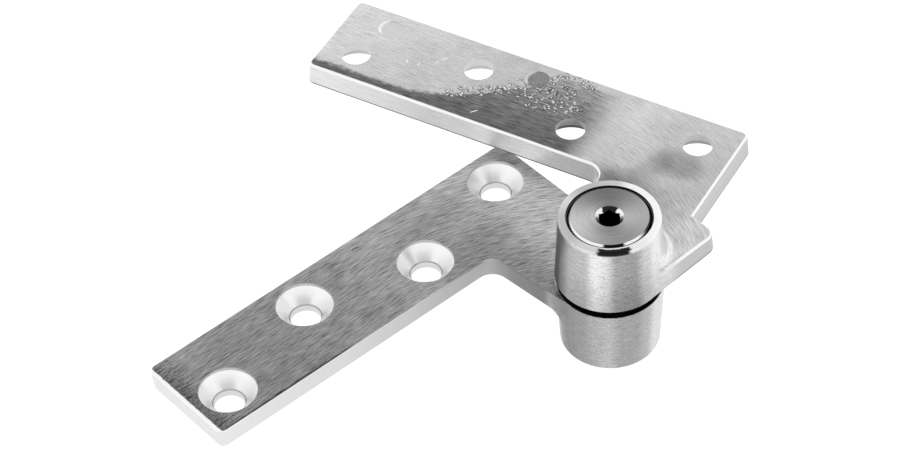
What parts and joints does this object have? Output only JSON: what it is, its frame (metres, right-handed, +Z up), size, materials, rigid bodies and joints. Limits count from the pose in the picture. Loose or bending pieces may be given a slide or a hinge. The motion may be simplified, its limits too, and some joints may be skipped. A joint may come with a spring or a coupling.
{
  "type": "offset pivot hinge",
  "caption": "Offset pivot hinge for a door's top corner: two drilled cast leaves joined by a retractable pivot pin in round knuckles, shown part open.",
  "frame": {"origin": "on the pivot axis, in the plane where the frame leaf seats against the header", "axes": "+X along the frame leaf towards its free end, the leaf on the -Y side of the pivot, +Z up"},
  "size_m": [0.1131, 0.1315, 0.0385],
  "materials": {
    "cast_steel": "brushed",
    "turned_steel": "turned",
    "dark_steel": "satin",
    "bronze": "satin"
  },
  "bodies": {
    "frame": {"frame_leaf": "cast_steel", "guide_dowel": "turned_steel", "snap_ring": "dark_steel"},
    "door": {"door_leaf": "cast_steel", "door_bushing": "bronze", "thrust_washer": "turned_steel"},
    "screw": {"adjusting_screw": "turned_steel"},
    "pin": {"pivot_pin": "turned_steel"}
  },
  "joints": [
    {"name": "leaf_swing", "type": "hinge", "parent": "frame", "child": "door", "pos_m": [0, 0, 0], "axis": [0, 0, 1], "range_deg": [-70, 110]},
    {"name": "screw_turn", "type": "hinge", "parent": "frame", "child": "screw", "pos_m": [0, 0, 0], "axis": [0, 0, -1], "range_deg": [0, 3315]},
    {"name": "pin_lift", "type": "slide", "parent": "frame", "child": "pin", "axis": [0, 0, 1], "range_m": [0, 0.0092]}
  ],
  "couplings": [
    {"joint": "screw_turn", "follows": "pin_lift", "rad_per_m": 6283.2}
  ]
}
